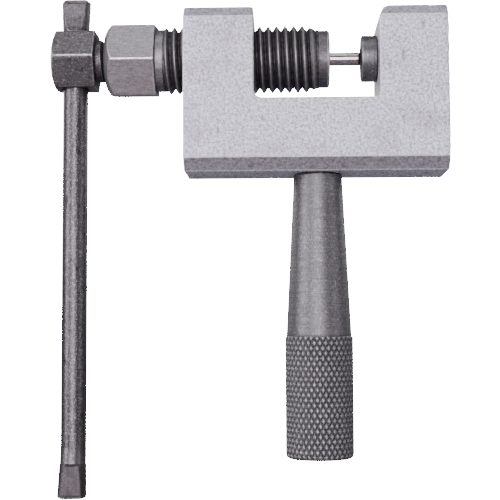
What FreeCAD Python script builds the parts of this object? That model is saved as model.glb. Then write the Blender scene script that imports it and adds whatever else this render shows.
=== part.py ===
import FreeCAD, Part
import Sketcher
import os
import re

from FreeCAD import Vector

# Row frame, in millimetres: the origin is the centre of the anvil's working
# face, +X is the way the pin drives a rivet, +Z is up and the U opens upward.

DIMENSIONS = {
    # body block
    "block_left": -41.25,
    "block_length": 60.8,
    "block_thick": 20.0,
    "block_top": 11.0,
    "block_bottom": -27.35,
    "block_bevel": 3.0,
    "slot_left": -25.05,
    "slot_right": 3.75,
    "slot_floor": -10.8,
    "slot_corner_left": 2.0,
    "slot_corner_right": 1.2,
    "lip_left": 0.5,
    "lip_right": 1.0,
    "lip_right_deep": 3.0,
    "lip_round": 1.3,
    "lip_round_deep": 0.6,
    "bolt_bore_radius": 7.98,
    "bore_mouth": 0.8,
    # anvil bush
    "anvil_radius": 5.45,
    "anvil_edge": 0.35,
    "anvil_shank_radius": 4.5,
    "anvil_shank_end": 11.75,
    "rivet_radius": 2.9,
    # hollow drive bolt
    "nose_end": -7.4,
    "nose_length": 3.0,
    "nose_radius": 6.7,
    "nose_edge": 0.6,
    "bolt_crest": 7.9,
    "bolt_root": 6.76,
    "bolt_pitch": 2.0,
    "bolt_thread_end": -45.4,
    "bolt_neck_radius": 7.3,
    "bolt_hex_right": -48.1,
    "bolt_hex_left": -59.9,
    "bolt_hex_flats": 16.4,
    "bolt_hex_turn": 8.6,
    "bolt_hex_face": 6.6,
    "bolt_hex_bevel": 2.1,
    "pin_guide_radius": 1.6,
    "spring_chamber_end": -13.4,
    "spring_chamber_radius": 4.25,
    "screw_bore_end": -39.6,
    "screw_bore_radius": 5.05,
    # push screw with its cross-drilled hexagonal head
    "head_right": -62.3,
    "head_left": -72.85,
    "head_flats": 13.5,
    "head_turn": 0.0,
    "head_face": 3.4,
    "head_shoulder": 5.9,
    "head_shoulder_deep": 0.55,
    "head_dome": 1.5,
    "screw_crest": 4.97,
    "screw_root": 4.08,
    "screw_pitch": 1.5,
    "screw_thread_start": -59.4,
    "screw_thread_end": -42.6,
    "screw_tip": -41.1,
    "screw_tip_radius": 3.6,
    "bar_hole_radius": 3.08,
    # tommy bar
    "bar_centre": -67.4,
    "bar_radius": 3.0,
    "bar_top": 14.84,
    "bar_top_shoulder": 8.6,
    "bar_top_flat": 7.1,
    "bar_bottom_flat": -93.7,
    "bar_bottom_shoulder": -97.5,
    "bar_bottom": -102.46,
    "bar_shoulder_wide": 3.25,
    "bar_end_wide": 3.45,
    "bar_facet_start": 2.6,
    "bar_facet_end": 2.2,
    "bar_end_edge": 0.7,
    # drive pin
    "pin_tip": -0.2,
    "pin_tip_edge": 0.25,
    "pin_radius": 1.55,
    "pin_head_front": -36.6,
    "pin_head_back": -41.0,
    "pin_head_radius": 4.0,
    "pin_head_edge": 0.4,
    # return spring
    "spring_wire": 0.45,
    "spring_mean": 2.9,
    "spring_pitch": 2.6,
    "spring_left": -36.0,
    "spring_right": -14.0,
    # handle
    "handle_centre": -10.33,
    "stud_radius": 3.98,
    "stud_hole_radius": 4.0,
    "stud_top": -17.6,
    "stud_hole_top": -17.0,
    "handle_top_radius": 5.65,
    "handle_taper_end": -65.0,
    "handle_taper_radius": 7.6,
    "grip_radius": 7.92,
    "grip_end": -93.15,
    "grip_edge": 1.3,
}


SHEET = "dims"
FLANK_SLOPE = 0.57735
THREAD_OVERSHOOT = 0.18
CUT_MARGIN = 3.0


def make_sheet(doc):
    """The spreadsheet that drives every sub-part."""
    sheet = doc.addObject("Spreadsheet::Sheet", SHEET)
    for row, (alias, value) in enumerate(DIMENSIONS.items(), start=1):
        sheet.set(f"A{row}", alias)
        sheet.set(f"B{row}", str(value))
        sheet.setAlias(f"B{row}", alias)
    doc.recompute()
    return sheet


def bound(term):
    """A term in the sheet's names, written as an expression of the document."""
    def link(word):
        return f"{SHEET}.{word[0]}" if word[0] in DIMENSIONS else word[0]
    return re.sub(r"[a-z][a-z_]*", link, str(term))


def make_body(doc, name, along="0", height="0"):
    """An empty body with its own label, set at (along, 0, height) in the row frame."""
    body = doc.addObject("PartDesign::Body", name)
    body.Label = name
    body.setExpression("Placement.Base.x", bound(along))
    body.setExpression("Placement.Base.z", bound(height))
    return body


def add_sketch(body, name, plane, corners, offset="0"):
    """A closed outline of straight lines on one of the body's origin planes.

    Each corner is a pair of terms, and is pinned to them from the sketch's origin.
    """
    sketch = body.newObject("Sketcher::SketchObject", name)
    origin_plane = next(item for item in body.Origin.OriginFeatures if item.Role == plane)
    sketch.AttachmentSupport = (origin_plane, "")
    sketch.MapMode = "FlatFace"
    sketch.setExpression("AttachmentOffset.Base.z", bound(offset))
    places = []
    for corner in corners:
        places.append([float(body.evalExpression(bound(term))) for term in corner])
    count = len(corners)
    for index in range(count):
        line = Part.LineSegment(Vector(*places[index], 0), Vector(*places[(index + 1) % count], 0))
        sketch.addGeometry(line, False)
    for index in range(count):
        joined = Sketcher.Constraint("Coincident", index, 2, (index + 1) % count, 1)
        sketch.addConstraint(joined)
    for index, corner in enumerate(corners):
        for kind, term, value in zip(("DistanceX", "DistanceY"), corner, places[index]):
            number = sketch.addConstraint(Sketcher.Constraint(kind, -1, 1, index, 1, value))
            tag = f"{kind}{index}"
            sketch.renameConstraint(number, tag)
            sketch.setExpression(f"Constraints.{tag}", bound(term))
    return sketch


def add_circle(body, name, plane, radius, offset="0", centre=None):
    """A circle on an origin plane, at the origin or at a pair of terms."""
    sketch = body.newObject("Sketcher::SketchObject", name)
    origin_plane = next(item for item in body.Origin.OriginFeatures if item.Role == plane)
    sketch.AttachmentSupport = (origin_plane, "")
    sketch.MapMode = "FlatFace"
    sketch.setExpression("AttachmentOffset.Base.z", bound(offset))
    middle = centre or ("0", "0")
    place = [float(body.evalExpression(bound(term))) for term in middle]
    size = float(body.evalExpression(bound(radius)))
    sketch.addGeometry(Part.Circle(Vector(*place, 0), Vector(0, 0, 1), size), False)
    if centre is None:
        sketch.addConstraint(Sketcher.Constraint("Coincident", 0, 3, -1, 1))
    else:
        for kind, term, value in zip(("DistanceX", "DistanceY"), middle, place):
            number = sketch.addConstraint(Sketcher.Constraint(kind, -1, 1, 0, 3, value))
            sketch.renameConstraint(number, kind)
            sketch.setExpression(f"Constraints.{kind}", bound(term))
    number = sketch.addConstraint(Sketcher.Constraint("Radius", 0, size))
    sketch.renameConstraint(number, "Radius")
    sketch.setExpression("Constraints.Radius", bound(radius))
    return sketch


def add_feature(body, kind, name, profile, **values):
    """A PartDesign feature on a sketch; text values become expressions."""
    feature = body.newObject(f"PartDesign::{kind}", name)
    feature.Profile = profile
    for key, value in values.items():
        if key in ("Length", "Pitch", "Height"):
            feature.setExpression(key, bound(value))
        else:
            setattr(feature, key, value)
    body.Document.recompute()
    return feature


def revolve(body, kind, name, corners, axis="H_Axis"):
    """An outline in the XZ plane turned a full turn about the body's X or Z axis."""
    sketch = add_sketch(body, f"{name}_outline", "XZ_Plane", corners)
    return add_feature(body, kind, name, sketch, ReferenceAxis=(sketch, [axis]), Angle=360)


def hexagon(flats, turn):
    """Corners of a hexagon about the X axis; unturned, two flats are level."""
    corner = f"{flats} / sqrt(3)"
    return [
        (f"{corner} * cos({60 * step} + {turn})", f"{corner} * sin({60 * step} + {turn})")
        for step in range(6)
    ]


def cut_thread(body, name, first, last, crest, root, pitch):
    """A right-hand helical groove of 60 degree section, cut from first back to last."""
    reach = f"({crest} + {THREAD_OVERSHOOT})"
    wide = f"({pitch} * 0.11 + ({reach} - {root}) * {FLANK_SLOPE})"
    narrow = f"{pitch} * 0.11"
    section = [
        (f"{first} - {wide}", reach),
        (f"{first} - {narrow}", root),
        (f"{first} + {narrow}", root),
        (f"{first} + {wide}", reach),
    ]
    sketch = add_sketch(body, f"{name}_section", "XZ_Plane", section)
    return add_feature(
        body, "SubtractiveHelix", name, sketch,
        ReferenceAxis=(sketch, ["H_Axis"]), Mode=0, Reversed=True, LeftHanded=False,
        Pitch=pitch, Height=f"{first} - ({last})",
    )


def edges_at(shape, across, height):
    """Names of the straight Y edges at one x and z."""
    names = []
    for index, edge in enumerate(shape.Edges, start=1):
        ends = [vertex.Point for vertex in edge.Vertexes]
        if len(ends) == 2 and all(
            abs(end.x - across) < 1e-4 and abs(end.z - height) < 1e-4 for end in ends
        ):
            names.append(f"Edge{index}")
    return names


def make_block(doc):
    """U-shaped body: a bevelled bar of steel with a slot for the chain."""
    body = make_body(doc, "body_block")
    side = "block_thick / 2"
    section = [
        (f"-({side} - block_bevel)", "block_bottom"),
        (f"{side} - block_bevel", "block_bottom"),
        (side, "block_bottom + block_bevel"),
        (side, "block_top - block_bevel"),
        (f"{side} - block_bevel", "block_top"),
        (f"-({side} - block_bevel)", "block_top"),
        (f"-({side})", "block_top - block_bevel"),
        (f"-({side})", "block_bottom + block_bevel"),
    ]
    sketch = add_sketch(body, "section", "YZ_Plane", section, offset="block_left")
    add_feature(body, "Pad", "bar", sketch, Length="block_length")

    slot = [
        ("slot_left", "slot_floor"),
        ("slot_right", "slot_floor"),
        ("slot_right", "block_top - lip_right_deep"),
        ("slot_right + lip_right", "block_top - lip_round_deep"),
        ("slot_right + lip_right + lip_round", "block_top"),
        ("slot_right + lip_right + lip_round", f"block_top + {CUT_MARGIN}"),
        ("slot_left - lip_left", f"block_top + {CUT_MARGIN}"),
        ("slot_left - lip_left", "block_top"),
        ("slot_left", "block_top - lip_left"),
    ]
    sketch = add_sketch(body, "slot_outline", "XZ_Plane", slot)
    add_feature(body, "Pocket", "slot", sketch, Type="ThroughAll", Midplane=True)

    floor = DIMENSIONS["slot_floor"]
    for side_name in ("left", "right"):
        base = body.Tip
        fillet = body.newObject("PartDesign::Fillet", f"slot_corner_{side_name}")
        fillet.Base = (base, edges_at(base.Shape, DIMENSIONS[f"slot_{side_name}"], floor))
        fillet.setExpression("Radius", bound(f"slot_corner_{side_name}"))
        doc.recompute()

    bolt_bore = [
        (f"block_left - {CUT_MARGIN}", "0"),
        (f"block_left - {CUT_MARGIN}", "bolt_bore_radius + bore_mouth"),
        ("block_left", "bolt_bore_radius + bore_mouth"),
        ("block_left + bore_mouth", "bolt_bore_radius"),
        ("slot_left - bore_mouth / 2", "bolt_bore_radius"),
        ("slot_left", "bolt_bore_radius + bore_mouth / 2"),
        (f"slot_left + {CUT_MARGIN}", "bolt_bore_radius + bore_mouth / 2"),
        (f"slot_left + {CUT_MARGIN}", "0"),
    ]
    revolve(body, "Groove", "bolt_bore", bolt_bore)

    anvil_seat = [
        (f"slot_right - {CUT_MARGIN}", "0"),
        (f"slot_right - {CUT_MARGIN}", "anvil_shank_radius"),
        ("anvil_shank_end", "anvil_shank_radius"),
        ("anvil_shank_end", "rivet_radius"),
        (f"block_left + block_length + {CUT_MARGIN}", "rivet_radius"),
        (f"block_left + block_length + {CUT_MARGIN}", "0"),
    ]
    revolve(body, "Groove", "anvil_seat", anvil_seat)

    sketch = add_circle(
        body, "stud_hole_outline", "XY_Plane", "stud_hole_radius",
        offset="block_bottom", centre=("handle_centre", "0"),
    )
    add_feature(
        body, "Pocket", "stud_hole", sketch, Reversed=True,
        Length="stud_hole_top - block_bottom",
    )
    return body


def make_anvil(doc):
    """Hardened bush pressed into the right jaw; the rivet leaves through it."""
    body = make_body(doc, "anvil_bush")
    outline = [
        ("0", "rivet_radius"),
        ("0", "anvil_radius - anvil_edge"),
        ("anvil_edge", "anvil_radius"),
        ("slot_right", "anvil_radius"),
        ("slot_right", "anvil_shank_radius"),
        ("anvil_shank_end", "anvil_shank_radius"),
        ("anvil_shank_end", "rivet_radius"),
    ]
    revolve(body, "Revolution", "bush", outline)
    return body


def make_drive_bolt(doc):
    """Hollow threaded bolt whose nose meets the chain and guides the pin."""
    body = make_body(doc, "drive_bolt")
    corners = hexagon("bolt_hex_flats", "bolt_hex_turn")
    sketch = add_sketch(body, "hex_outline", "YZ_Plane", corners, offset="bolt_hex_left")
    add_feature(body, "Pad", "hex", sketch, Length="bolt_hex_right - bolt_hex_left")
    wide = "bolt_hex_flats / sqrt(3) + 1"
    bevel = [
        (f"bolt_hex_left - {CUT_MARGIN}", "bolt_hex_face"),
        ("bolt_hex_left", "bolt_hex_face"),
        ("bolt_hex_left + bolt_hex_bevel", "bolt_hex_flats / sqrt(3)"),
        ("bolt_hex_left + bolt_hex_bevel", wide),
        (f"bolt_hex_left - {CUT_MARGIN}", wide),
    ]
    revolve(body, "Groove", "hex_bevel", bevel)
    run_out = "(bolt_crest - bolt_neck_radius)"
    shank = [
        ("bolt_hex_left + bolt_hex_bevel", "0"),
        ("bolt_hex_left + bolt_hex_bevel", "bolt_neck_radius"),
        (f"bolt_thread_end - {run_out}", "bolt_neck_radius"),
        ("bolt_thread_end", "bolt_crest"),
        ("nose_end - nose_length - (bolt_crest - nose_radius)", "bolt_crest"),
        ("nose_end - nose_length", "nose_radius"),
        ("nose_end - nose_edge", "nose_radius"),
        ("nose_end", "nose_radius - nose_edge"),
        ("nose_end", "0"),
    ]
    revolve(body, "Revolution", "shank", shank)
    hollow = [
        (f"nose_end + {CUT_MARGIN}", "0"),
        (f"nose_end + {CUT_MARGIN}", "pin_guide_radius"),
        ("spring_chamber_end", "pin_guide_radius"),
        ("spring_chamber_end", "spring_chamber_radius"),
        ("screw_bore_end", "spring_chamber_radius"),
        ("screw_bore_end", "screw_bore_radius"),
        ("bolt_hex_left + 0.6", "screw_bore_radius"),
        ("bolt_hex_left", "screw_bore_radius + 0.6"),
        (f"bolt_hex_left - {CUT_MARGIN}", "screw_bore_radius + 0.6"),
        (f"bolt_hex_left - {CUT_MARGIN}", "0"),
    ]
    revolve(body, "Groove", "hollow", hollow)
    cut_thread(
        body, "outer_thread", "nose_end - 3.46", "bolt_thread_end - 0.4",
        "bolt_crest", "bolt_root", "bolt_pitch",
    )
    return body


def make_push_screw(doc):
    """Screw that drives the pin; its hexagonal head carries the tommy bar."""
    body = make_body(doc, "push_screw")
    corners = hexagon("head_flats", "head_turn")
    sketch = add_sketch(body, "head_outline", "YZ_Plane", corners, offset="head_left")
    add_feature(body, "Pad", "head", sketch, Length="head_right - head_left")
    wide = "head_flats / sqrt(3) + 0.2"
    dome = [
        (f"head_left - {CUT_MARGIN}", "head_face"),
        ("head_left", "head_face"),
        ("head_left + head_shoulder_deep", "head_shoulder"),
        ("head_left + head_dome", wide),
        (f"head_left - {CUT_MARGIN}", wide),
    ]
    revolve(body, "Groove", "head_dome", dome)
    tip = "(screw_crest - screw_tip_radius)"
    shank = [
        ("head_right - 1", "0"),
        ("head_right - 1", "screw_crest"),
        (f"screw_tip - {tip}", "screw_crest"),
        ("screw_tip", "screw_tip_radius"),
        ("screw_tip", "0"),
    ]
    revolve(body, "Revolution", "shank", shank)
    sketch = add_circle(
        body, "bar_hole_outline", "XY_Plane", "bar_hole_radius", centre=("bar_centre", "0")
    )
    add_feature(body, "Pocket", "bar_hole", sketch, Type="ThroughAll", Midplane=True)
    cut_thread(
        body, "screw_thread", "screw_thread_end", "screw_thread_start",
        "screw_crest", "screw_root", "screw_pitch",
    )
    return body


def make_tommy_bar(doc):
    """Cross bar, squashed at both ends so that it can't fall out of the head."""
    body = make_body(doc, "tommy_bar", along="bar_centre")
    sketch = add_circle(body, "rod_outline", "XY_Plane", "bar_radius", offset="bar_bottom_flat")
    add_feature(body, "Pad", "rod", sketch, Length="bar_top_flat - bar_bottom_flat")
    ends = (
        ("top", 1, "bar_top_flat", "bar_top_shoulder", "bar_top"),
        ("bottom", -1, "bar_bottom_flat", "bar_bottom_shoulder", "bar_bottom"),
    )
    for end, way, start, shoulder, finish in ends:
        rounds = [
            add_circle(body, f"{end}_round_{step}", "XY_Plane", radius, offset=height)
            for step, (radius, height) in enumerate((
                ("bar_radius", start), ("bar_shoulder_wide", shoulder), ("bar_end_wide", finish)
            ))
        ]
        flare = body.newObject("PartDesign::AdditiveLoft", f"{end}_flare")
        flare.Profile = rounds[0]
        flare.Sections = rounds[1:]
        flare.Ruled = True
        doc.recompute()
        broken = f"{finish} - (bar_end_edge * {way})"
        edge = [
            ("bar_end_wide - bar_end_edge", finish),
            ("bar_end_wide", broken),
            ("bar_end_wide + 1", broken),
            ("bar_end_wide + 1", finish),
        ]
        revolve(body, "Groove", f"{end}_edge", edge, axis="V_Axis")
        for side, label in ((1, "back"), (-1, "front")):
            facet = [
                (f"{side} * bar_facet_start", start),
                (f"{side} * bar_facet_end", finish),
                (f"{side} * (bar_end_wide + 1)", finish),
                (f"{side} * (bar_end_wide + 1)", start),
            ]
            sketch = add_sketch(body, f"{end}_{label}_outline", "YZ_Plane", facet)
            add_feature(
                body, "Pocket", f"{end}_{label}_facet", sketch, Type="ThroughAll", Midplane=True
            )
    return body


def make_drive_pin(doc):
    """Pin that pushes the rivet out, with the head that the screw presses on."""
    body = make_body(doc, "drive_pin")
    outline = [
        ("pin_head_back", "0"),
        ("pin_head_back", "pin_head_radius - pin_head_edge"),
        ("pin_head_back + pin_head_edge", "pin_head_radius"),
        ("pin_head_front", "pin_head_radius"),
        ("pin_head_front", "pin_radius"),
        ("pin_tip - pin_tip_edge", "pin_radius"),
        ("pin_tip", "pin_radius - pin_tip_edge"),
        ("pin_tip", "0"),
    ]
    revolve(body, "Revolution", "pin", outline)
    return body


def make_return_spring(doc):
    """Compression spring round the pin, between its head and the nose."""
    body = make_body(doc, "return_spring")
    wire = add_circle(
        body, "wire", "XZ_Plane", "spring_wire", centre=("spring_right", "spring_mean")
    )
    add_feature(
        body, "AdditiveHelix", "coil", wire,
        ReferenceAxis=(wire, ["H_Axis"]), Mode=0, Reversed=True, LeftHanded=False,
        Pitch="spring_pitch", Height="spring_right - spring_left",
    )
    return body


def make_handle(doc):
    """Handle screwed into the block's underside: taper, then a straight grip."""
    body = make_body(doc, "handle", along="handle_centre")
    outline = [
        ("0", "stud_top"),
        ("stud_radius", "stud_top"),
        ("stud_radius", "block_bottom"),
        ("handle_top_radius", "block_bottom"),
        ("handle_taper_radius", "handle_taper_end"),
        ("grip_radius", "handle_taper_end"),
        ("grip_radius", "grip_end + grip_edge"),
        ("grip_radius - grip_edge", "grip_end"),
        ("0", "grip_end"),
    ]
    revolve(body, "Revolution", "shaft", outline, axis="V_Axis")
    return body


def check(doc, bodies):
    """Stops the build at a failed object or an unusable shape."""
    for item in doc.Objects:
        bad = {"Invalid", "Error"} & set(item.State)
        if bad:
            raise RuntimeError(f"{item.Name} in state {sorted(bad)}")
    for body in bodies:
        shape = body.Shape
        if shape.isNull() or not shape.isValid() or len(shape.Solids) != 1:
            raise RuntimeError(f"{body.Label} is not one valid solid")


def main():
    doc = FreeCAD.newDocument("chain_tool")
    make_sheet(doc)
    makers = (
        make_block, make_anvil, make_handle, make_drive_bolt,
        make_return_spring, make_drive_pin, make_push_screw, make_tommy_bar,
    )
    bodies = [make(doc) for make in makers]
    doc.recompute()
    check(doc, bodies)
    os.makedirs("parts", exist_ok=True)
    for body in bodies:
        body.Shape.exportStep(f"parts/{body.Label}.step")
        print(body.Label, round(body.Shape.Volume, 1))


main()
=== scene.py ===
import math

import bmesh
import bpy
import numpy as np
from mathutils import Matrix, Vector, noise


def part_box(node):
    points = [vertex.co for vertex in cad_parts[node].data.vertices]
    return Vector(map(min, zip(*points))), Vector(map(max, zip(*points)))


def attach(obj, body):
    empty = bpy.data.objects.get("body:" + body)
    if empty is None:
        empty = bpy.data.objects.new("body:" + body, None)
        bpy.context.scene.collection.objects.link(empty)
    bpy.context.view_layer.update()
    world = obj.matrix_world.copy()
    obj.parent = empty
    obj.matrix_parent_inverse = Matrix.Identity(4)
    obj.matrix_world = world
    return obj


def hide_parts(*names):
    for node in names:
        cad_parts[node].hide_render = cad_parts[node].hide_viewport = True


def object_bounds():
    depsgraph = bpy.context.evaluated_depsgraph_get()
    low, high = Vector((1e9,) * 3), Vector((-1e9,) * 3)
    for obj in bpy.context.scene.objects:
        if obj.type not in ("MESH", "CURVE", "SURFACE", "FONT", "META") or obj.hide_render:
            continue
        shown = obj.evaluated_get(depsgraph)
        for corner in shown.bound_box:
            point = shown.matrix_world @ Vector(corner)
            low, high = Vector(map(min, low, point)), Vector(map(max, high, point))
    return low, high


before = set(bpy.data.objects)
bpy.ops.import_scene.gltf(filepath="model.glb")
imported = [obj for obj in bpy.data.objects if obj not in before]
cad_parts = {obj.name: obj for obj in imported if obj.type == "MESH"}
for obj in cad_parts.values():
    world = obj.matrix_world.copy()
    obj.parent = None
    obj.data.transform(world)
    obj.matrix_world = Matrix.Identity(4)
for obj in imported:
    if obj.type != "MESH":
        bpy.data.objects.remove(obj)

CAD_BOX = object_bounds()
MM = 0.001
TURN = 2 * math.pi
rng = np.random.default_rng(707)

# ---------------------------------------------------------------- mesh tools


def smooth_min(one, two, blend):
    """The smaller of two radii, rounded over where they meet."""
    part = np.clip(0.5 + 0.5 * (two - one) / blend, 0, 1)
    return two * (1 - part) + one * part - blend * part * (1 - part)


def make_object(name, verts, faces, layers):
    """A smooth-shaded mesh in metres from vertices in millimetres."""
    mesh = bpy.data.meshes.new(name)
    mesh.from_pydata((np.asarray(verts) * MM).tolist(), [], faces)
    for layer, values in layers.items():
        attribute = mesh.attributes.new(layer, "FLOAT", "POINT")
        attribute.data.foreach_set("value", np.asarray(values, np.float32))
    tidy = bmesh.new()
    tidy.from_mesh(mesh)
    bmesh.ops.recalc_face_normals(tidy, faces=tidy.faces)
    tidy.to_mesh(mesh)
    tidy.free()
    mesh.polygons.foreach_set("use_smooth", [True] * len(mesh.polygons))
    piece = bpy.data.objects.new(name, mesh)
    bpy.context.scene.collection.objects.link(piece)
    return piece


class Lathe:
    """A skin of rings round an axis; a ring's radius may change with the angle.

    Angles run from +Z towards -Y round +X, or from +X towards +Y round +Z.
    """

    def __init__(self, axis, steps, offset=(0.0, 0.0, 0.0), angles=None):
        self.axis = axis
        self.angles = np.arange(steps) * TURN / steps if angles is None else angles
        self.offset = np.array(offset)
        self.rings = []
        self.wear = []
        self.dirt_and_shade = []

    # The darkening layer holds grime and also painted shade, set darker in thread roots, corners,
    # grooves and bores.
    def ring(self, place, radius, wear=0.0, dirt_and_shade=0.0):
        count = len(self.angles)
        across = np.broadcast_to(np.asarray(radius, float), (count,))
        along = np.broadcast_to(np.asarray(place, float), (count,))
        if self.axis == "X":
            points = (along, -across * np.sin(self.angles), across * np.cos(self.angles))
        else:
            points = (across * np.cos(self.angles), across * np.sin(self.angles), along)
        self.rings.append(np.stack(points, 1) + self.offset)
        self.wear.append(np.broadcast_to(np.asarray(wear, float), (count,)))
        self.dirt_and_shade.append(np.broadcast_to(np.asarray(dirt_and_shade, float), (count,)))

    def build(self, name, loop=False):
        count = len(self.angles)
        verts = np.concatenate(self.rings)
        faces = []
        total = len(self.rings)
        for row in range(total if loop else total - 1):
            here = row * count
            there = ((row + 1) % total) * count
            for step in range(count):
                after = (step + 1) % count
                faces.append((here + step, here + after, there + after, there + step))
        if not loop:
            faces.append(tuple(range(count)))
            last = (total - 1) * count
            faces.append(tuple(last + step for step in reversed(range(count))))
        layers = {"wear": np.concatenate(self.wear), "dirt_and_shade": np.concatenate(self.dirt_and_shade)}
        return make_object(name, verts, faces, layers)


def hexagon(flats, angles, turn, edge):
    """Radius of a hexagon with slightly broken corners; unturned, two flats face up and down."""
    local = np.mod(angles - turn + math.pi / 6, math.pi / 3) - math.pi / 6
    flat = flats / 2 / np.cos(local)
    corner = flats / math.sqrt(3) - edge
    near = np.clip(1 - (math.pi / 6 - np.abs(local)) / 0.035, 0, 1)
    return smooth_min(flat, np.full_like(flat, corner), edge), near


def hex_angles(turn, fine=7, coarse=9):
    """Angles of a hexagon's outline, closer together at its corners."""
    half = math.pi / 6
    near = np.linspace(0, 0.06, fine, endpoint=False)
    far = np.linspace(0.06, half, coarse)
    one_side = np.concatenate([near, far])
    sector = np.concatenate([-one_side[::-1], one_side[1:]])[:-1]
    spots = [sector + (step + 0.5) * math.pi / 3 + turn for step in range(6)]
    return np.sort(np.mod(np.concatenate(spots), TURN))


def thread_height(place, angles, crest_at, pitch, crest_flat=0.11, root_flat=0.10):
    """0 at the root and 1 at the crest of a right-hand 60 degree thread."""
    phase = np.mod((place - crest_at) / pitch - angles / TURN + 0.5, 1.0) - 0.5
    reach = 0.5 - np.abs(phase)
    height = (reach - root_flat / 2) / (0.5 - crest_flat / 2 - root_flat / 2)
    height = np.clip(height, -0.2, 1.2)
    low = 0.5 * (height + np.sqrt(height**2 + 0.0035))
    return 1 - 0.5 * ((1 - low) + np.sqrt((1 - low) ** 2 + 0.0025))


def between(low, high, step):
    return np.linspace(low, high, max(2, int(round(abs(high - low) / step)) + 1))


# ------------------------------------------------------------- drive bolt

BOLT_TURN = math.radians(8.6)
BOLT_FLATS = 16.4
BOLT_CORNER_EDGE = 0.12
BOLT_FACE = 6.6
BOLT_BEVEL = 2.1
BOLT_BEVEL_RISE = 2.9
BOLT_HEX_RIGHT = -48.1
BOLT_THREAD_LEFT = -45.4
BOLT_NOSE_LENGTH = 2.5
BOLT_CREST, BOLT_ROOT, BOLT_NECK, BOLT_NOSE = 7.9, 6.72, 7.3, 6.7
BOLT_CREST_AT = -23.86
BOLT_PITCH = 2.0
CHAMBER_RIGHT, CHAMBER_LEFT, CHAMBER_RADIUS = -13.4, -39.6, 4.25
SCREW_BORE_RADIUS = 5.05
PIN_BORE_RADIUS = 1.62
BOLT_STEPS = hex_angles(BOLT_TURN)


def make_bolt():
    low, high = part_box("drive_bolt")
    left, nose = low.x / MM, high.x / MM
    hex_right = BOLT_HEX_RIGHT
    thread_left, thread_right = BOLT_THREAD_LEFT, nose - BOLT_NOSE_LENGTH
    crest, root, neck, tip = BOLT_CREST, BOLT_ROOT, BOLT_NECK, BOLT_NOSE
    angles = BOLT_STEPS
    skin = Lathe("X", 0, angles=angles)
    hex_radius, corner = hexagon(BOLT_FLATS, angles, BOLT_TURN, BOLT_CORNER_EDGE)
    # The back face is painted darker towards the screw bore: painted shade at the mouth of the
    # hole.
    skin.ring(left, 5.9, dirt_and_shade=0.6)
    skin.ring(left, BOLT_FACE - 0.25, dirt_and_shade=0.2)
    for place in between(left, left + 4.2, 0.1):
        cone = BOLT_FACE + BOLT_BEVEL_RISE * ((place - left) / BOLT_BEVEL) ** 0.8
        radius = smooth_min(hex_radius, np.full_like(hex_radius, cone), 0.16)
        ridge = np.clip(1 - np.abs(hex_radius - cone) / 0.22, 0, 1)
        skin.ring(place, radius, wear=np.maximum(corner * (cone > 8.9), 0.5 * ridge))
    for place in between(left + 4.7, hex_right - 0.5, 0.5):
        skin.ring(place, hex_radius, wear=corner)
    skin.ring(hex_right - 0.14, hex_radius, wear=np.maximum(corner, 0.3))
    skin.ring(hex_right - 0.04, hex_radius - 0.04, wear=0.8)
    skin.ring(hex_right, hex_radius - 0.14, wear=0.5)
    # The underside of the head and the neck below it are painted darker: painted shade in the
    # corner under the head.
    skin.ring(hex_right, neck + 0.5, dirt_and_shade=0.5)
    skin.ring(hex_right, neck + 0.12, dirt_and_shade=0.9)
    skin.ring(hex_right + 0.1, neck, dirt_and_shade=0.9)
    for place in between(hex_right + 0.35, thread_left - 0.9, 0.25):
        skin.ring(place, neck, dirt_and_shade=0.35)
    for place in between(thread_left - 0.8, thread_right - 0.02, 0.085):
        height = thread_height(place, angles, BOLT_CREST_AT, BOLT_PITCH)
        radius = root + (crest - root) * height
        fade = np.clip((thread_left + 1.6 - place) / 2.0, 0, 1)
        floor = root + (neck - root) * fade
        radius = -smooth_min(-radius, np.full_like(radius, -floor), 0.05)
        start = neck + (place - (thread_left - 0.8)) * 0.8
        finish = tip + 0.02 + (thread_right - place) * 0.33
        radius = smooth_min(radius, np.full_like(radius, min(start, finish)), 0.08)
        crest_wear = 0.3 * np.clip((height - 0.86) * 7, 0, 1)
        # Thread roots painted darker: painted shade in the valleys between the crests.
        root_shade = np.clip(1.12 - height, 0, 1) ** 0.5
        skin.ring(place, radius, wear=crest_wear, dirt_and_shade=root_shade)
    # The end of the thread and the plain nose are painted darker.
    skin.ring(thread_right, tip + 0.02, dirt_and_shade=0.3)
    for place in between(thread_right + 0.15, nose - 0.7, 0.4):
        skin.ring(place, tip, dirt_and_shade=0.75)
    for step in range(7):
        bend = step / 6 * math.pi / 2
        round_off = 0.55
        skin.ring(
            nose - round_off + round_off * math.sin(bend),
            tip - round_off + round_off * math.cos(bend),
            wear=0.75 * math.sin(2 * bend),
        )
    skin.ring(nose, 4.0)
    skin.ring(nose, 1.95, wear=0.2)
    # The pin bore, chamber and screw bore are painted dark: painted shade inside the hollows.
    skin.ring(nose - 0.25, PIN_BORE_RADIUS, dirt_and_shade=0.6)
    skin.ring(CHAMBER_RIGHT, PIN_BORE_RADIUS, dirt_and_shade=1)
    skin.ring(CHAMBER_RIGHT, CHAMBER_RADIUS, dirt_and_shade=1)
    skin.ring(CHAMBER_LEFT, CHAMBER_RADIUS, dirt_and_shade=1)
    skin.ring(CHAMBER_LEFT, SCREW_BORE_RADIUS, dirt_and_shade=1)
    skin.ring(left + 0.6, SCREW_BORE_RADIUS, dirt_and_shade=1)
    return skin.build("bolt_skin", loop=True)


# ------------------------------------------------------- push screw and bar

SCREW_HEAD_RIGHT = -62.3
SCREW_FLATS = 13.5
SCREW_CREST, SCREW_ROOT, SCREW_PITCH = 4.97, 4.08, 1.5
SCREW_CREST_AT = -43.35
SCREW_TIP_RADIUS = 3.6
BAR_CENTRE = -67.4
BAR_RADIUS = 2.97
BAR_HOLE_RADIUS = 3.08
BAR_HOLE_RIM = 3.32
BAR_HOLE_MOUTH = 3.45
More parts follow.
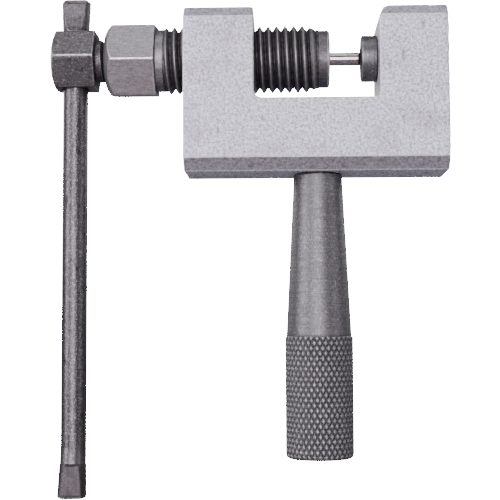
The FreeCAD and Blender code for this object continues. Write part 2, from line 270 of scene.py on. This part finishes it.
# Rows of a squashed end: distance from the tip, half width, half thickness.
BAR_BOTTOM = (
    (0, 3.42, 2.2),
    (4.2, 3.28, 2.42),
    (8.1, 3.12, 2.6),
    (8.2, 3.02, 3.4),
    (11.5, 2.98, 3.4),
)
BAR_TOP = (
    (0, 3.42, 2.0),
    (4.5, 3.3, 2.25),
    (7.4, 3.12, 2.58),
    (7.5, 3.0, 3.4),
    (8.6, 2.98, 3.4),
)

def make_screw():
    low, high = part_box("push_screw")
    left, tip = low.x / MM, high.x / MM
    head_right = SCREW_HEAD_RIGHT
    angles = hex_angles(0.0)
    skin = Lathe("X", 0, angles=angles)
    hex_radius, corner = hexagon(SCREW_FLATS, angles, 0.0, 0.2)
    skin.ring(left + 0.03, 0.2)
    skin.ring(left + 0.02, 1.8)
    skin.ring(left, 3.0)
    for place in left + 1.9 * np.linspace(0, 1, 28) ** 1.7:
        dome = 3.3 + 4.75 * np.clip((place - left) / 1.55, 0, None) ** 0.56
        radius = smooth_min(hex_radius, np.full_like(hex_radius, dome), 0.3)
        ridge = np.clip(1 - np.abs(hex_radius - dome) / 0.35, 0, 1)
        skin.ring(place, radius, wear=0.35 * ridge)
    for place in between(left + 2.2, head_right - 0.4, 0.4):
        skin.ring(place, hex_radius, wear=corner)
    skin.ring(head_right - 0.16, hex_radius, wear=0.4)
    skin.ring(head_right - 0.05, hex_radius - 0.05, wear=0.7)
    skin.ring(head_right, hex_radius - 0.2, wear=0.4)
    # The underside of the head and the start of the shank are painted darker: painted shade under
    # the head.
    skin.ring(head_right, 5.2, dirt_and_shade=0.7)
    crest, root = SCREW_CREST, SCREW_ROOT
    skin.ring(head_right + 0.15, crest, dirt_and_shade=0.6)
    for place in between(head_right + 0.5, tip - 1.3, 0.11):
        height = thread_height(place, angles, SCREW_CREST_AT, SCREW_PITCH)
        fade = np.clip((head_right + 2.1 - place) / 0.9, 0, 1)
        radius = root + (crest - root) * np.maximum(height, fade)
        crest_wear = 0.5 * np.clip(height - 0.7, 0, 1)
        # Thread roots painted darker, with a flat darkening next to the head where the thread fades
        # out: painted shade in the valleys and under the head.
        root_shade = np.maximum((1 - height) * (1 - fade), 0.3 * fade)
        skin.ring(place, radius, wear=crest_wear, dirt_and_shade=root_shade)
    skin.ring(tip, SCREW_TIP_RADIUS)
    skin.ring(tip, 0.3)
    piece = skin.build("screw_skin")
    drill = Lathe("Z", 64, offset=(BAR_CENTRE, 0, 0))
    mouth = ((12, BAR_HOLE_MOUTH), (6.75, BAR_HOLE_RIM), (6.48, BAR_HOLE_RADIUS))
    for height, radius in mouth:
        drill.ring(-height, radius)
    for height, radius in reversed(mouth):
        drill.ring(height, radius)
    cutter = drill.build("screw_drill")
    cut = piece.modifiers.new("bar_hole", "BOOLEAN")
    cut.object = cutter
    cut.operation = "DIFFERENCE"
    cut.solver = "EXACT"
    settle(piece)
    bpy.data.objects.remove(cutter)
    return piece


def settle(piece):
    """Turns a piece's modifiers into plain mesh."""
    graph = bpy.context.evaluated_depsgraph_get()
    graph.update()
    mesh = bpy.data.meshes.new_from_object(piece.evaluated_get(graph))
    piece.modifiers.clear()
    piece.data = mesh


def make_bar():
    low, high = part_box("tommy_bar")
    bottom, top = low.z / MM, high.z / MM
    angles = np.arange(72) * TURN / 72
    skin = Lathe("Z", 0, offset=(BAR_CENTRE, 0, 0), angles=angles)

    def section(wide, thin):
        """Round across X, with flat faces in front and behind."""
        slab = thin / np.maximum(np.abs(np.sin(angles)), 0.05)
        return smooth_min(np.full_like(angles, wide), slab, 0.05)

    def add_end(tip, profile, edge, lean, dirt_and_shade, order):
        """A hammered end, its tip set over by lean; order -1 runs from the shaft to the tip."""
        depths, widths, thicknesses = zip(*profile)
        outline = section(widths[0], thicknesses[0])
        dome = 0.3
        rings = []
        for reach in (0.06, 0.4, 0.75, 0.9):
            rings.append((dome * reach**2, outline * reach * 0.92, 0.1))
        for step in range(1, 8):
            bend = step / 7 * math.pi / 2
            depth = dome + edge * (1 - math.cos(bend))
            rings.append((depth, outline - edge * (1 - math.sin(bend)), 0.6))
        for depth in between(0.4 + edge, depths[-1], 0.3):
            wide = np.interp(depth, depths, widths)
            thin = np.interp(depth, depths, thicknesses)
            rings.append((depth, section(wide, thin), 0.12))
        side = 1 if tip > 0 else -1
        for depth, radius, wear in rings[::order]:
            out = np.abs(radius * np.sin(angles))
            flat = out > 0.98 * out.max()
            # The hammered end is painted darker by the given amount, and more on its rounded sides
            # than on its flat faces, which is painted shade.
            grime_and_shade = np.where(flat, dirt_and_shade, min(1.0, dirt_and_shade + 0.25)) * (depth < depths[-2])
            skin.ring(tip - side * depth, radius, wear=wear, dirt_and_shade=grime_and_shade)
            shift = lean * max(0.0, 1 - depth / depths[-1])
            skin.rings[-1][:, 0] += shift

    add_end(bottom, BAR_BOTTOM, edge=0.55, lean=-0.38, dirt_and_shade=0.9, order=1)
    for place in between(bottom + 12.1, top - 9.2, 1.1):
        bow = 0.012 * noise.noise(Vector((place * 0.13, 3.1, 0)))
        skin.ring(place, BAR_RADIUS + bow)
    add_end(top, BAR_TOP, edge=0.75, lean=0.14, dirt_and_shade=0.45, order=-1)
    return skin.build("bar_skin")


# ----------------------------------------------------- pin, anvil and handle

PIN_RADIUS = 1.55
PIN_HEAD_RADIUS = 4.0
PIN_HEAD_LENGTH = 4.4
ANVIL_RADIUS = 5.45
ANVIL_ROUND = 0.42
ANVIL_SHANK_RADIUS = 4.48
ANVIL_SHANK_LEFT = 3.6
ANVIL_BORE_RADIUS = 2.9

def make_pin():
    low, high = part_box("drive_pin")
    back, tip = low.x / MM, high.x / MM
    skin = Lathe("X", 40)
    neck = back + PIN_HEAD_LENGTH
    skin.ring(back, 0.2)
    skin.ring(back, PIN_HEAD_RADIUS - 0.4)
    skin.ring(back + 0.4, PIN_HEAD_RADIUS)
    skin.ring(neck, PIN_HEAD_RADIUS)
    skin.ring(neck, PIN_RADIUS + 0.2)
    skin.ring(neck + 0.2, PIN_RADIUS)
    for place in between(-34.0, tip - 0.4, 1.0):
        skin.ring(place, PIN_RADIUS + 0.004 * noise.noise(Vector((place, 0, 5))))
    skin.ring(tip - 0.12, 1.5, wear=0.5)
    skin.ring(tip, 1.32, wear=0.5)
    skin.ring(tip, 0.1)
    return skin.build("pin_skin")


def make_anvil():
    low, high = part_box("anvil_bush")
    face, end = low.x / MM, high.x / MM
    skin = Lathe("X", 96)
    skin.ring(face, 3.15, wear=0.4)
    skin.ring(face, 4.0)
    # A shallow ring groove just inside the rounded edge.
    skin.ring(face + ANVIL_ROUND, ANVIL_RADIUS - ANVIL_ROUND)
    for step in range(1, 7):
        bend = step / 6 * math.pi / 2
        skin.ring(
            face + ANVIL_ROUND * (1 - math.cos(bend)),
            ANVIL_RADIUS - ANVIL_ROUND * (1 - math.sin(bend)),
            wear=0.5 * math.sin(2 * bend),
        )
    # The shallow ring groove is painted darker: painted shade in the groove.
    for place in between(face + 0.7, 3.3, 0.4):
        groove = 0.05 if abs(place - 2.7) < 0.25 else 0.0
        skin.ring(place, ANVIL_RADIUS - groove, dirt_and_shade=groove * 8)
    # The step down to the shank is painted dark: painted shade in the corner.
    skin.ring(ANVIL_SHANK_LEFT - 0.02, ANVIL_RADIUS - 0.04, dirt_and_shade=0.7)
    skin.ring(ANVIL_SHANK_LEFT, ANVIL_RADIUS - 0.15, dirt_and_shade=0.9)
    skin.ring(ANVIL_SHANK_LEFT, ANVIL_SHANK_RADIUS, dirt_and_shade=1)
    skin.ring(end - 0.4, ANVIL_SHANK_RADIUS)
    skin.ring(end, 4.2)
    skin.ring(end, ANVIL_BORE_RADIUS)
    # The bore wall is painted dark: painted shade inside the hole.
    skin.ring(face + 0.3, ANVIL_BORE_RADIUS, dirt_and_shade=0.8)
    return skin.build("anvil_skin", loop=True)


KNURL_COUNT = 36
KNURL_LENGTH = 2.34
KNURL_DEPTH = 0.42
HANDLE_TOP_RADIUS = 5.63
HANDLE_TAPER_RADIUS = 7.56
HANDLE_TAPER_END = -65.0
GRIP_RADIUS = 7.9
GRIP_EDGE = 1.25
STUD_RADIUS = 3.97


def make_handle():
    low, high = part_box("handle")
    end, stud = low.z / MM, high.z / MM
    centre = (low.x + high.x) / 2 / MM
    top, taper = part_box("body_block")[0].z / MM, HANDLE_TAPER_END
    slim, wide, grip = HANDLE_TOP_RADIUS, HANDLE_TAPER_RADIUS, GRIP_RADIUS
    steps = KNURL_COUNT * 9
    skin = Lathe("Z", steps, offset=(centre, 0, 0))
    angles = skin.angles
    skin.ring(stud, 0.3)
    skin.ring(stud, 3.6)
    skin.ring(stud - 0.4, STUD_RADIUS)
    # The stud and the shoulder against the block are painted dark: painted shade where the handle
    # meets the block.
    skin.ring(top + 0.02, STUD_RADIUS, dirt_and_shade=1)
    skin.ring(top - 0.02, slim - 0.3, dirt_and_shade=1)
    skin.ring(top - 0.3, slim, dirt_and_shade=0.7)
    for place in between(top - 0.6, taper + 0.6, 0.45):
        share = (top - place) / (top - taper)
        ripple = 0.006 * noise.noise(Vector((0, 0, place * 2.1)))
        skin.ring(place, slim + (wide - slim) * share + ripple)
    skin.ring(taper + 0.15, wide)
    # The small step before the knurl is painted darker: painted shade in the groove.
    skin.ring(taper - 0.02, wide - 0.05, dirt_and_shade=0.6)
    skin.ring(taper - 0.14, wide, wear=0.15)
    start, finish = taper - 0.18, end + 0.02
    turns = angles * KNURL_COUNT / TURN
    for place in between(start, finish, 0.15):
        one = np.abs(2 * np.mod(turns + place / KNURL_LENGTH, 1) - 1)
        two = np.abs(2 * np.mod(turns - place / KNURL_LENGTH, 1) - 1)
        peak = np.minimum(1 - one, 1 - two)
        peak = smooth_min(peak * 1.9, np.full_like(peak, 0.97), 0.12)
        valley = 1 - np.clip(peak, 0, 1)
        fade = min(1.0, (start - place) / 0.35)
        radius = grip - KNURL_DEPTH * valley * fade - 0.1 * (1 - fade)
        edge = place - end
        if edge < GRIP_EDGE:
            inside = max(GRIP_EDGE**2 - (GRIP_EDGE - edge) ** 2, 0.0)
            drop = GRIP_EDGE - math.sqrt(inside)
            radius = smooth_min(radius, np.full_like(radius, grip + 0.01 - drop * 0.9), 0.06)
        # The knurl valleys are painted darker: painted shade in the valleys.
        skin.ring(place, radius, wear=np.clip(peak - 0.78, 0, 1) * 1.9, dirt_and_shade=0.85 * valley * fade)
    skin.ring(end, 6.3, wear=0.3)
    skin.ring(end, 3.0)
    # The centre dimple in the grip end is painted dark: painted shade in the hollow.
    skin.ring(end + 0.25, 1.2, dirt_and_shade=0.5)
    skin.ring(end + 0.6, 0.2, dirt_and_shade=0.9)
    return skin.build("handle_skin")


# --------------------------------------------------------------- block

BLOCK_HALF_DEPTH = 10.0
BLOCK_BEVEL = 3.0
BLOCK_SLOT_LEFT, BLOCK_SLOT_RIGHT = -25.0, 3.8
BOLT_BORE_REACH = 9.2
VOXEL = 0.24

def make_block():
    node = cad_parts["body_block"]
    piece = bpy.data.objects.new("block_skin", node.data.copy())
    piece.data.materials.clear()
    bpy.context.scene.collection.objects.link(piece)
    grid = piece.modifiers.new("grid", "REMESH")
    grid.mode = "VOXEL"
    grid.voxel_size = VOXEL * MM
    grid.use_smooth_shade = True
    settle(piece)
    relax = piece.modifiers.new("relax", "SMOOTH")
    relax.factor = 0.5
    relax.iterations = 2
    settle(piece)
    mesh = piece.data
    count = len(mesh.vertices)
    spots = np.empty(count * 3, np.float32)
    normals = np.empty(count * 3, np.float32)
    mesh.vertices.foreach_get("co", spots)
    mesh.vertices.foreach_get("normal", normals)
    spots = spots.reshape(-1, 3) / MM
    normals = normals.reshape(-1, 3)
    steepest = np.abs(normals).max(1)
    diagonal = np.abs(np.abs(normals[:, 1]) - 0.7071) + np.abs(np.abs(normals[:, 2]) - 0.7071)
    bore = np.hypot(spots[:, 1], spots[:, 2])
    in_bore = (bore < BOLT_BORE_REACH) & (np.abs(normals[:, 0]) < 0.98)
    edge = np.clip((0.985 - steepest) * 9, 0, 1) * np.clip(diagonal * 9 - 0.25, 0, 1)
    edge[in_bore] *= 0.3
    low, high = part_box("body_block")
    low, high = np.array(low) / MM, np.array(high) / MM
    shift = np.zeros(count)
    nicks = []
    for side in (-1, 1):
        face, crown = side * BLOCK_HALF_DEPTH, side * (BLOCK_HALF_DEPTH - BLOCK_BEVEL)
        for height in rng.uniform(low[2] + 2, high[2] - 1, 16):
            nicks.append((high[0], face, height, rng.uniform(0.25, 0.75)))
            place = height + rng.uniform(-1, 1)
            nicks.append((low[0], face, place, rng.uniform(0.15, 0.4)))
        for along in rng.uniform(low[0], high[0], 14):
            nicks.append((along, face, low[2] + BLOCK_BEVEL, rng.uniform(0.15, 0.45)))
        left_jaw = rng.uniform(low[0], BLOCK_SLOT_LEFT, 5)
        right_jaw = rng.uniform(BLOCK_SLOT_RIGHT, high[0], 5)
        for along in np.concatenate([left_jaw, right_jaw]):
            nicks.append((along, crown, high[2], rng.uniform(0.15, 0.45)))
            nicks.append((along, face, high[2] - BLOCK_BEVEL, rng.uniform(0.15, 0.4)))
    for along, deep, height, size in nicks:
        gap = (spots - np.array([along, deep, height])) * np.array([1.0, 1.0, 0.6])
        distance = np.sqrt((gap**2).sum(1))
        shift += np.clip(1 - distance / (size * 1.6), 0, 1) ** 1.5 * size * 0.42
    near_edge = np.where(edge > 0.15)[0]
    for index in near_edge:
        shift[index] += 0.045 * abs(noise.noise(Vector(spots[index] * 1.7)))
    spots = spots - normals * shift[:, None]
    mesh.vertices.foreach_set("co", (spots * MM).astype(np.float32).ravel())
    wear = mesh.attributes.new("wear", "FLOAT", "POINT")
    wear.data.foreach_set("value", np.clip(edge + shift * 1.2, 0, 1).astype(np.float32))
    dirt_and_shade = mesh.attributes.new("dirt_and_shade", "FLOAT", "POINT")
    # Painted shade: the bore is painted dark, and the chamfers are painted darker, the
    # downward-facing ones more than the upward-facing ones.
    bevel = np.clip(1 - diagonal * 5, 0, 1) * (~in_bore)
    grime_and_shade = np.maximum(in_bore * 1.0, bevel * np.where(normals[:, 2] > 0, 0.50, 0.80))
    dirt_and_shade.data.foreach_set("value", grime_and_shade.astype(np.float32))
    mesh.update()
    return piece


# ---------------------------------------------------------------- materials


class Paint:
    """A material's shader nodes, strung together call by call."""

    def __init__(self, name):
        self.material = bpy.data.materials.new(name)
        self.material.use_nodes = True
        self.tree = self.material.node_tree
        self.shader = self.tree.nodes["Principled BSDF"]
        self.coords = self.tree.nodes.new("ShaderNodeTexCoord").outputs["Object"]

    def link(self, source, target):
        self.tree.links.new(source, target)

    def noise(self, scale, stretch=(1, 1, 1), detail=4.0, rough=0.6, shift=0.0):
        mapping = self.tree.nodes.new("ShaderNodeMapping")
        mapping.inputs["Scale"].default_value = stretch
        mapping.inputs["Location"].default_value = (shift, shift * 0.7, shift * 1.3)
        self.link(self.coords, mapping.inputs["Vector"])
        texture = self.tree.nodes.new("ShaderNodeTexNoise")
        texture.inputs["Scale"].default_value = scale
        texture.inputs["Detail"].default_value = detail
        texture.inputs["Roughness"].default_value = rough
        self.link(mapping.outputs["Vector"], texture.inputs["Vector"])
        return texture.outputs["Fac"]

    def span(self, source, low, high, out_low=0.0, out_high=1.0):
        node = self.tree.nodes.new("ShaderNodeMapRange")
        node.inputs["From Min"].default_value = low
        node.inputs["From Max"].default_value = high
        node.inputs["To Min"].default_value = out_low
        node.inputs["To Max"].default_value = out_high
        self.link(source, node.inputs["Value"])
        return node.outputs["Result"]

    def math(self, operation, one, two):
        node = self.tree.nodes.new("ShaderNodeMath")
        node.operation = operation
        for socket, value in zip(node.inputs, (one, two)):
            if isinstance(value, (int, float)):
                socket.default_value = value
            else:
                self.link(value, socket)
        return node.outputs[0]

    def mix(self, factor, one, two, mode="MIX"):
        node = self.tree.nodes.new("ShaderNodeMix")
        node.data_type = "RGBA"
        node.blend_type = mode
        sockets = (node.inputs[0], node.inputs[6], node.inputs[7])
        for socket, value in zip(sockets, (factor, one, two)):
            if isinstance(value, (int, float)):
                socket.default_value = value
            elif isinstance(value, tuple):
                socket.default_value = (*value, 1.0)
            else:
                self.link(value, socket)
        return node.outputs[2]

    def layer(self, name):
        node = self.tree.nodes.new("ShaderNodeAttribute")
        node.attribute_name = name
        return node.outputs["Fac"]

    def bump(self, height, depth, strength=1.0):
        node = self.tree.nodes.new("ShaderNodeBump")
        node.inputs["Distance"].default_value = depth
        node.inputs["Strength"].default_value = strength
        self.link(height, node.inputs["Height"])
        self.link(node.outputs["Normal"], self.shader.inputs["Normal"])

    def finish(self, color, rough, metallic):
        self.link(color, self.shader.inputs["Base Color"])
        self.link(rough, self.shader.inputs["Roughness"])
        self.shader.inputs["Metallic"].default_value = metallic
        return self.material


STAIN = (0.22, 0.165, 0.175)
BACKDROP_GLOW = 40


def steel(name, base, dark, bright, rough, metallic, grain, grain_scale, depth, seed,
          blotch=0.5, pits=0.0, wear=0.85, dirt_and_shade=0.8, dirt_and_shade_color=(0.012, 0.011, 0.012),
          speck=0.35, dot_scale=1700, stain=0.0, contrast=0.18):
    """Worked steel: fine grain, wide blotches, pits, bright edges, and hollows darkened with grime
    and painted shade.
    """
    paint = Paint(name)
    fine = paint.noise(grain_scale, grain, detail=6.0, rough=0.7, shift=seed)
    wide = paint.noise(180, (1, 1, 1), detail=3.0, shift=seed + 1.7)
    dots = paint.noise(dot_scale, (1, 1, 1), detail=3.0, rough=0.75, shift=seed + 3.1)
    tone = paint.mix(paint.span(fine, 0.5 - contrast, 0.5 + contrast), dark, base)
    tone = paint.mix(paint.span(wide, 0.42, 0.72, 0.0, blotch), tone, dark)
    tone = paint.mix(paint.span(dots, 0.53, 0.53 + contrast, 0.0, speck), tone, dark)
    tone = paint.mix(paint.span(dots, 0.46, 0.46 - contrast, 0.0, speck), tone, bright)
    if stain:
        patch = paint.noise(75, (1, 1, 1.6), detail=5.0, rough=0.65, shift=seed + 9.1)
        tone = paint.mix(paint.span(patch, 0.50, 0.68, 0.0, stain), tone, STAIN)
    if pits:
        holes = paint.noise(620, (1, 1, 0.45), detail=2.0, rough=0.5, shift=seed + 5.3)
        tone = paint.mix(paint.span(holes, 0.635, 0.70, 0.0, pits), tone, dirt_and_shade_color)
    rub = paint.noise(900, (1, 1, 1), detail=2.0, shift=seed + 7.7)
    worn = paint.math("MULTIPLY", paint.layer("wear"), paint.span(rub, 0.3, 0.6, 0.35, 1.0))
    tone = paint.mix(paint.math("MULTIPLY", worn, wear), tone, bright)
    # Painted shade and grime: the darkening layer mixes the colour towards the dark colour in
    # hollows, roots, corners and shaded chamfers.
    grime_and_shade = paint.math("MULTIPLY", paint.layer("dirt_and_shade"), paint.span(rub, 0.25, 0.7, 0.75, 1.0))
    tone = paint.mix(paint.math("MULTIPLY", grime_and_shade, dirt_and_shade), tone, dirt_and_shade_color)
    gloss = paint.span(fine, 0.25, 0.75, rough + 0.09, rough - 0.09)
    gloss = paint.math("ADD", gloss, paint.math("MULTIPLY", worn, -0.10))
    gloss = paint.math("ADD", gloss, paint.math("MULTIPLY", grime_and_shade, 0.15))
    relief = paint.math("ADD", paint.math("MULTIPLY", fine, 0.6), paint.math("MULTIPLY", dots, 0.4))
    paint.bump(relief, depth)
    return paint.finish(tone, gloss, metallic)


def make_materials():
    return {
        "block": steel(
            "block_blasted_steel", (0.80, 0.77, 0.95), (0.32, 0.30, 0.38), (1.0, 0.98, 1.0),
            0.5, 0.45, (1, 1, 1), 1400, 0.00030, 1.0, blotch=0.20, dirt_and_shade=0.9, pits=0.5,
            dirt_and_shade_color=(0.085, 0.065, 0.073), speck=0.8, dot_scale=3000, stain=0.34,
            contrast=0.09,
        ),
        "anvil": steel(
            "anvil_dark_steel", (0.15, 0.143, 0.152), (0.07, 0.066, 0.072), (0.45, 0.44, 0.46),
            0.4, 0.85, (1, 0.25, 0.25), 1500, 0.00006, 2.0,
        ),
        "handle": steel(
            "handle_turned_steel", (0.165, 0.156, 0.168), (0.085, 0.079, 0.087), (0.50, 0.48, 0.51),
            0.46, 0.85, (0.06, 0.06, 1.6), 2800, 0.00007, 3.0, blotch=0.35, dirt_and_shade=0.85,
        ),
        "bolt": steel(
            "bolt_brushed_steel", (0.36, 0.34, 0.37), (0.19, 0.175, 0.19), (0.80, 0.78, 0.81),
            0.40, 0.85, (0.25, 1.0, 1.0), 2200, 0.00008, 4.0, blotch=0.4, dirt_and_shade=0.95,
            speck=0.5, dot_scale=2800, stain=0.25,
        ),
        "spring": steel(
            "spring_wire_steel", (0.40, 0.40, 0.41), (0.22, 0.22, 0.23), (0.8, 0.8, 0.8),
            0.35, 0.9, (1, 1, 1), 1200, 0.00003, 5.0,
        ),
        "pin": steel(
            "pin_ground_steel", (0.40, 0.35, 0.36), (0.24, 0.20, 0.21), (0.92, 0.88, 0.88),
            0.13, 0.97, (0.3, 1, 1), 1500, 0.00002, 6.0, blotch=0.3,
        ),
        "screw": steel(
            "screw_dark_steel", (0.125, 0.116, 0.125), (0.062, 0.056, 0.061), (0.55, 0.53, 0.55),
            0.40, 0.85, (0.5, 1, 1), 2000, 0.00009, 7.0, blotch=0.5, pits=0.5,
            speck=0.5, dot_scale=2600, stain=0.15,
        ),
        "bar": steel(
            "bar_drawn_steel", (0.100, 0.093, 0.101), (0.048, 0.044, 0.048), (0.50, 0.48, 0.51),
            0.34, 0.88, (1, 1, 0.22), 1800, 0.00009, 8.0, blotch=0.6, pits=0.85,
            dirt_and_shade_color=(0.030, 0.022, 0.026), speck=0.45, dot_scale=2600, stain=0.12,
        ),
    }


# ----------------------------------------------------------- stage and camera

CAMERA_PLACE = (-18.333 * MM, -276.687 * MM, -64.9 * MM)
CAMERA_YAW, CAMERA_PITCH, CAMERA_ROLL = (math.radians(value) for value in (1.645, 4.122, -0.236))
CAMERA_LENS = 85.54


def make_camera():
    forward = Vector((
        -math.sin(CAMERA_YAW) * math.cos(CAMERA_PITCH),
        math.cos(CAMERA_YAW) * math.cos(CAMERA_PITCH),
        math.sin(CAMERA_PITCH),
    ))
    level = Vector((math.cos(CAMERA_YAW), math.sin(CAMERA_YAW), 0))
    upright = level.cross(forward)
    right = level * math.cos(CAMERA_ROLL) + upright * math.sin(CAMERA_ROLL)
    up = upright * math.cos(CAMERA_ROLL) - level * math.sin(CAMERA_ROLL)
    lens = bpy.data.cameras.new("camera")
    lens.lens = CAMERA_LENS
    lens.sensor_width = 36
    lens.clip_start = 0.01
    lens.clip_end = 20
    camera = bpy.data.objects.new("camera", lens)
    axes = Matrix((right, up, -forward)).transposed().to_4x4()
    camera.matrix_world = Matrix.Translation(CAMERA_PLACE) @ axes
    bpy.context.scene.collection.objects.link(camera)
    bpy.context.scene.camera = camera


def area_light(name, place, target, size, power, color=(1, 1, 1)):
    data = bpy.data.lights.new(name, "AREA")
    data.shape = "RECTANGLE"
    data.size, data.size_y = size
    data.energy = power
    data.color = color
    lamp = bpy.data.objects.new(name, data)
    lamp.location = place
    lamp.rotation_mode = "QUATERNION"
    lamp.rotation_quaternion = (Vector(target) - Vector(place)).to_track_quat("-Z", "Y")
    bpy.context.scene.collection.objects.link(lamp)
    return lamp


def make_stage():
    lowest = CAD_BOX[0].z
    floor_z = lowest - 0.06
    size = 6.0
    corners = ((-size, -size), (size, -size), (size, size), (-size, size))
    verts = [(*corner, floor_z) for corner in corners]
    mesh = bpy.data.meshes.new("floor")
    mesh.from_pydata(verts, [], [(0, 1, 2, 3)])
    floor = bpy.data.objects.new("floor", mesh)
    bpy.context.scene.collection.objects.link(floor)
    paint = Paint("floor_paper")
    paint.shader.inputs["Base Color"].default_value = (0.9, 0.9, 0.9, 1)
    paint.shader.inputs["Roughness"].default_value = 0.9
    paint.shader.inputs["Emission Color"].default_value = (1, 1, 1, 1)
    paint.shader.inputs["Emission Strength"].default_value = BACKDROP_GLOW
    mesh.materials.append(paint.material)
    floor.visible_diffuse = False
    floor.visible_glossy = False
    world = bpy.data.worlds.new("world")
    bpy.context.scene.world = world
    world.use_nodes = True
    nodes, links = world.node_tree.nodes, world.node_tree.links
    backdrop = nodes["Background"]
    backdrop.inputs["Color"].default_value = (1, 1, 1, 1)
    backdrop.inputs["Strength"].default_value = BACKDROP_GLOW
    dim = nodes.new("ShaderNodeBackground")
    dim.inputs["Color"].default_value = (0.93, 0.94, 1.0, 1)
    dim.inputs["Strength"].default_value = 0.22
    path = nodes.new("ShaderNodeLightPath")
    mixer = nodes.new("ShaderNodeMixShader")
    links.new(path.outputs["Is Camera Ray"], mixer.inputs[0])
    links.new(dim.outputs[0], mixer.inputs[1])
    links.new(backdrop.outputs[0], mixer.inputs[2])
    links.new(mixer.outputs[0], nodes["World Output"].inputs["Surface"])
    target = (-0.03, 0, -0.04)
    area_light("front_soft", (-0.10, -0.95, 0.0), target, (0.60, 0.80), 13.0, (0.985, 0.96, 1.0))
    area_light("top_soft", (-0.05, -0.20, 0.60), target, (0.5, 0.4), 1.5)
    area_light("low_soft", (-0.02, -0.30, -0.60), target, (0.6, 0.4), 0.8, (1.0, 0.86, 0.90))
    area_light("side_left", (-0.65, -0.35, 0.10), target, (0.3, 0.6), 5.2)
    area_light("side_right", (0.65, -0.30, 0.05), target, (0.25, 0.6), 1.3)
    area_light("back_left", (-0.75, 0.70, 0.35), target, (0.5, 0.5), 3.5)
    area_light("back_right", (0.75, 0.70, 0.35), target, (0.5, 0.5), 2.5)


# --------------------------------------------------------------- assembly

PIECES = (
    (make_block, "body_block", "frame", "block_steel", "block"),
    (make_anvil, "anvil_bush", "frame", "anvil_steel", "anvil"),
    (make_handle, "handle", "frame", "handle_steel", "handle"),
    (make_bolt, "drive_bolt", "drive_bolt", "bolt_steel", "bolt"),
    (make_pin, "drive_pin", "drive_pin", "pin_steel", "pin"),
    (make_screw, "push_screw", "push_screw", "screw_steel", "screw"),
    (make_bar, "tommy_bar", "tommy_bar", "bar_steel", "bar"),
)

make_camera()
make_stage()
materials = make_materials()
for maker, node_name, body, slot, look in PIECES:
    piece = maker()
    piece.data.materials.clear()
    piece.data.materials.append(materials[look])
    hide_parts(node_name)
    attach(piece, body)
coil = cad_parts["return_spring"]
coil.data.materials.clear()
coil.data.materials.append(materials["spring"])
